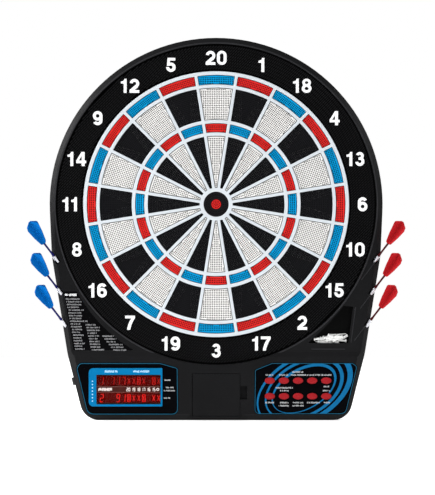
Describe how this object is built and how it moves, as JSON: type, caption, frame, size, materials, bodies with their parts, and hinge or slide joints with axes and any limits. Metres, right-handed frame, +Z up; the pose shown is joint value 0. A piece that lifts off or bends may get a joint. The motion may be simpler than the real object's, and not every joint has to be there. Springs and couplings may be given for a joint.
{
  "type": "electronic dartboard",
  "caption": "Wall-hung electronic soft-tip dartboard: spring-loaded perforated segments in a web, score display, key panel, tip pocket, storage door and side sockets holding darts.",
  "frame": {"origin": "on the bull's axis, on the rear cover's flat back, which lies on the wall", "axes": "+X to the right as a player sees the board, +Z up, +Y into the wall, so the front faces -Y"},
  "size_m": [0.5652, 0.0484, 0.567],
  "materials": {
    "housing_black": "fine-textured black ABS with a soft satin sheen",
    "cover_black": "coarse-textured black ABS",
    "ring_black": "moulded cross-hatch texture, black",
    "numeral_white": "printed white",
    "spider_white": "smooth white thermoplastic",
    "segment_white": "perforated off-white thermoplastic",
    "segment_black": "perforated black thermoplastic",
    "segment_red": "perforated red thermoplastic",
    "segment_blue": "perforated blue thermoplastic",
    "board_grey": "moulded grey board",
    "membrane_film": "printed polyester film",
    "mat_rubber": "moulded rubber",
    "panel_sheet": "printed polycarbonate sheet, black and blue",
    "bezel_blue": "glossy blue plastic",
    "window_red": "tinted acrylic lens",
    "circuit_green": "solder-masked circuit board",
    "switch_black": "moulded nylon",
    "jack_black": "moulded nylon",
    "speaker_steel": "pressed steel basket with a paper cone",
    "label_sheet": "printed black label",
    "tip_white": "translucent white nylon",
    "screw_steel": "zinc-plated steel",
    "button_red": "soft-touch red plastic",
    "barrel_steel": "nickel-plated, knurled",
    "stem_navy": "moulded navy nylon",
    "stem_red": "moulded dark red nylon",
    "flight_blue": "thin polyester sheet",
    "flight_red": "thin polyester sheet",
    "led_red": "lit red display segments"
  },
  "bodies": {
    "board": {"front_housing": "housing_black", "rear_cover": "cover_black", "catch_ring": "ring_black", "score_numerals": "numeral_white", "spider": "spider_white", "backing_board": "board_grey", "switch_membrane": "membrane_film", "segment_spring_mat": "mat_rubber", "display_overlay": "panel_sheet", "display_bezel": "bezel_blue", "display_window": "window_red", "score_display_board": "circuit_green", "control_overlay": "panel_sheet", "main_circuit_board": "circuit_green", "switch_body": "switch_black", "dc_jack": "jack_black", "speaker": "speaker_steel", "games_label": "label_sheet", "spare_tips": "tip_white", "housing_screws": "screw_steel"},
    "sector_20": {"segments_20": "segment_white"},
    "sector_01": {"segments_01": "segment_black"},
    "sector_18": {"segments_18": "segment_white"},
    "sector_04": {"segments_04": "segment_black"},
    "sector_13": {"segments_13": "segment_white"},
    "sector_06": {"segments_06": "segment_black"},
    "sector_10": {"segments_10": "segment_white"},
    "sector_15": {"segments_15": "segment_black"},
    "sector_02": {"segments_02": "segment_white"},
    "sector_17": {"segments_17": "segment_black"},
    "sector_03": {"segments_03": "segment_white"},
    "sector_19": {"segments_19": "segment_black"},
    "sector_07": {"segments_07": "segment_white"},
    "sector_16": {"segments_16": "segment_black"},
    "sector_08": {"segments_08": "segment_white"},
    "sector_11": {"segments_11": "segment_black"},
    "sector_14": {"segments_14": "segment_white"},
    "sector_09": {"segments_09": "segment_black"},
    "sector_12": {"segments_12": "segment_white"},
    "sector_05": {"segments_05": "segment_black"},
    "bull_outer_body": {"bull_outer": "segment_black"},
    "bull_inner_body": {"bull_inner": "segment_red"},
    "game_button_body": {"game_button": "button_red"},
    "option_button_body": {"option_button": "button_red"},
    "player_button_body": {"player_button": "button_red"},
    "handicap_button_body": {"handicap_button": "button_red"},
    "double_button_body": {"double_button": "button_red"},
    "reset_button_body": {"reset_button": "button_red"},
    "bounce_button_body": {"bounce_button": "button_red"},
    "volume_button_body": {"volume_button": "button_red"},
    "language_button_body": {"language_button": "button_red"},
    "start_button_body": {"start_button": "button_red"},
    "power_switch_body": {"power_switch": "switch_black"},
    "door": {"storage_door": "housing_black"},
    "dart_left_top_body": {"dart_left_top": "barrel_steel"},
    "dart_left_middle_body": {"dart_left_middle": "barrel_steel"},
    "dart_left_bottom_body": {"dart_left_bottom": "barrel_steel"},
    "dart_right_top_body": {"dart_right_top": "barrel_steel"},
    "dart_right_middle_body": {"dart_right_middle": "barrel_steel"},
    "dart_right_bottom_body": {"dart_right_bottom": "barrel_steel"}
  },
  "joints": [
    {"name": "storage_door_hinge", "type": "hinge", "parent": "board", "child": "door", "pos_m": [-0.03375, -0.03275, -0.28225], "axis": [0, 0, -1], "range_deg": [0, 95]},
    {"name": "dart_left_top_draw", "type": "slide", "parent": "board", "child": "dart_left_top_body", "axis": [-0.5869, -0.2079, 0.7825], "range_m": [0, 0.085]},
    {"name": "dart_left_middle_draw", "type": "slide", "parent": "board", "child": "dart_left_middle_body", "axis": [-0.5869, -0.2079, 0.7825], "range_m": [0, 0.085]},
    {"name": "dart_left_bottom_draw", "type": "slide", "parent": "board", "child": "dart_left_bottom_body", "axis": [-0.5869, -0.2079, 0.7825], "range_m": [0, 0.085]},
    {"name": "dart_right_top_draw", "type": "slide", "parent": "board", "child": "dart_right_top_body", "axis": [0.5869, -0.2079, 0.7825], "range_m": [0, 0.085]},
    {"name": "dart_right_middle_draw", "type": "slide", "parent": "board", "child": "dart_right_middle_body", "axis": [0.5869, -0.2079, 0.7825], "range_m": [0, 0.085]},
    {"name": "dart_right_bottom_draw", "type": "slide", "parent": "board", "child": "dart_right_bottom_body", "axis": [0.5869, -0.2079, 0.7825], "range_m": [0, 0.085]},
    {"name": "power_switch_slide", "type": "slide", "parent": "board", "child": "power_switch_body", "axis": [0.2434, 0, -0.9699], "range_m": [0, 0.004]},
    {"name": "sector_20_press", "type": "slide", "parent": "board", "child": "sector_20", "axis": [0, 1, 0], "range_m": [0, 0.001], "stiffness_N_per_m": 2500, "deforming": ["segment_spring_mat"]},
    {"name": "sector_01_press", "type": "slide", "parent": "board", "child": "sector_01", "axis": [0, 1, 0], "range_m": [0, 0.001], "stiffness_N_per_m": 2500, "deforming": ["segment_spring_mat"]},
    {"name": "sector_18_press", "type": "slide", "parent": "board", "child": "sector_18", "axis": [0, 1, 0], "range_m": [0, 0.001], "stiffness_N_per_m": 2500, "deforming": ["segment_spring_mat"]},
    {"name": "sector_04_press", "type": "slide", "parent": "board", "child": "sector_04", "axis": [0, 1, 0], "range_m": [0, 0.001], "stiffness_N_per_m": 2500, "deforming": ["segment_spring_mat"]},
    {"name": "sector_13_press", "type": "slide", "parent": "board", "child": "sector_13", "axis": [0, 1, 0], "range_m": [0, 0.001], "stiffness_N_per_m": 2500, "deforming": ["segment_spring_mat"]},
    {"name": "sector_06_press", "type": "slide", "parent": "board", "child": "sector_06", "axis": [0, 1, 0], "range_m": [0, 0.001], "stiffness_N_per_m": 2500, "deforming": ["segment_spring_mat"]},
    {"name": "sector_10_press", "type": "slide", "parent": "board", "child": "sector_10", "axis": [0, 1, 0], "range_m": [0, 0.001], "stiffness_N_per_m": 2500, "deforming": ["segment_spring_mat"]},
    {"name": "sector_15_press", "type": "slide", "parent": "board", "child": "sector_15", "axis": [0, 1, 0], "range_m": [0, 0.001], "stiffness_N_per_m": 2500, "deforming": ["segment_spring_mat"]},
    {"name": "sector_02_press", "type": "slide", "parent": "board", "child": "sector_02", "axis": [0, 1, 0], "range_m": [0, 0.001], "stiffness_N_per_m": 2500, "deforming": ["segment_spring_mat"]},
    {"name": "sector_17_press", "type": "slide", "parent": "board", "child": "sector_17", "axis": [0, 1, 0], "range_m": [0, 0.001], "stiffness_N_per_m": 2500, "deforming": ["segment_spring_mat"]},
    {"name": "sector_03_press", "type": "slide", "parent": "board", "child": "sector_03", "axis": [0, 1, 0], "range_m": [0, 0.001], "stiffness_N_per_m": 2500, "deforming": ["segment_spring_mat"]},
    {"name": "sector_19_press", "type": "slide", "parent": "board", "child": "sector_19", "axis": [0, 1, 0], "range_m": [0, 0.001], "stiffness_N_per_m": 2500, "deforming": ["segment_spring_mat"]},
    {"name": "sector_07_press", "type": "slide", "parent": "board", "child": "sector_07", "axis": [0, 1, 0], "range_m": [0, 0.001], "stiffness_N_per_m": 2500, "deforming": ["segment_spring_mat"]},
    {"name": "sector_16_press", "type": "slide", "parent": "board", "child": "sector_16", "axis": [0, 1, 0], "range_m": [0, 0.001], "stiffness_N_per_m": 2500, "deforming": ["segment_spring_mat"]},
    {"name": "sector_08_press", "type": "slide", "parent": "board", "child": "sector_08", "axis": [0, 1, 0], "range_m": [0, 0.001], "stiffness_N_per_m": 2500, "deforming": ["segment_spring_mat"]},
    {"name": "sector_11_press", "type": "slide", "parent": "board", "child": "sector_11", "axis": [0, 1, 0], "range_m": [0, 0.001], "stiffness_N_per_m": 2500, "deforming": ["segment_spring_mat"]},
    {"name": "sector_14_press", "type": "slide", "parent": "board", "child": "sector_14", "axis": [0, 1, 0], "range_m": [0, 0.001], "stiffness_N_per_m": 2500, "deforming": ["segment_spring_mat"]},
    {"name": "sector_09_press", "type": "slide", "parent": "board", "child": "sector_09", "axis": [0, 1, 0], "range_m": [0, 0.001], "stiffness_N_per_m": 2500, "deforming": ["segment_spring_mat"]},
    {"name": "sector_12_press", "type": "slide", "parent": "board", "child": "sector_12", "axis": [0, 1, 0], "range_m": [0, 0.001], "stiffness_N_per_m": 2500, "deforming": ["segment_spring_mat"]},
    {"name": "sector_05_press", "type": "slide", "parent": "board", "child": "sector_05", "axis": [0, 1, 0], "range_m": [0, 0.001], "stiffness_N_per_m": 2500, "deforming": ["segment_spring_mat"]},
    {"name": "bull_outer_press", "type": "slide", "parent": "board", "child": "bull_outer_body", "axis": [0, 1, 0], "range_m": [0, 0.001], "stiffness_N_per_m": 1500, "deforming": ["segment_spring_mat"]},
    {"name": "bull_inner_press", "type": "slide", "parent": "board", "child": "bull_inner_body", "axis": [0, 1, 0], "range_m": [0, 0.001], "stiffness_N_per_m": 1500, "deforming": ["segment_spring_mat"]},
    {"name": "game_button_press", "type": "slide", "parent": "board", "child": "game_button_body", "axis": [0, 1, 0], "range_m": [0, 0.001], "stiffness_N_per_m": 800},
    {"name": "option_button_press", "type": "slide", "parent": "board", "child": "option_button_body", "axis": [0, 1, 0], "range_m": [0, 0.001], "stiffness_N_per_m": 800},
    {"name": "player_button_press", "type": "slide", "parent": "board", "child": "player_button_body", "axis": [0, 1, 0], "range_m": [0, 0.001], "stiffness_N_per_m": 800},
    {"name": "handicap_button_press", "type": "slide", "parent": "board", "child": "handicap_button_body", "axis": [0, 1, 0], "range_m": [0, 0.001], "stiffness_N_per_m": 800},
    {"name": "double_button_press", "type": "slide", "parent": "board", "child": "double_button_body", "axis": [0, 1, 0], "range_m": [0, 0.001], "stiffness_N_per_m": 800},
    {"name": "reset_button_press", "type": "slide", "parent": "board", "child": "reset_button_body", "axis": [0, 1, 0], "range_m": [0, 0.001], "stiffness_N_per_m": 800},
    {"name": "bounce_button_press", "type": "slide", "parent": "board", "child": "bounce_button_body", "axis": [0, 1, 0], "range_m": [0, 0.001], "stiffness_N_per_m": 800},
    {"name": "volume_button_press", "type": "slide", "parent": "board", "child": "volume_button_body", "axis": [0, 1, 0], "range_m": [0, 0.001], "stiffness_N_per_m": 800},
    {"name": "language_button_press", "type": "slide", "parent": "board", "child": "language_button_body", "axis": [0, 1, 0], "range_m": [0, 0.001], "stiffness_N_per_m": 800},
    {"name": "start_button_press", "type": "slide", "parent": "board", "child": "start_button_body", "axis": [0, 1, 0], "range_m": [0, 0.001], "stiffness_N_per_m": 800}
  ]
}
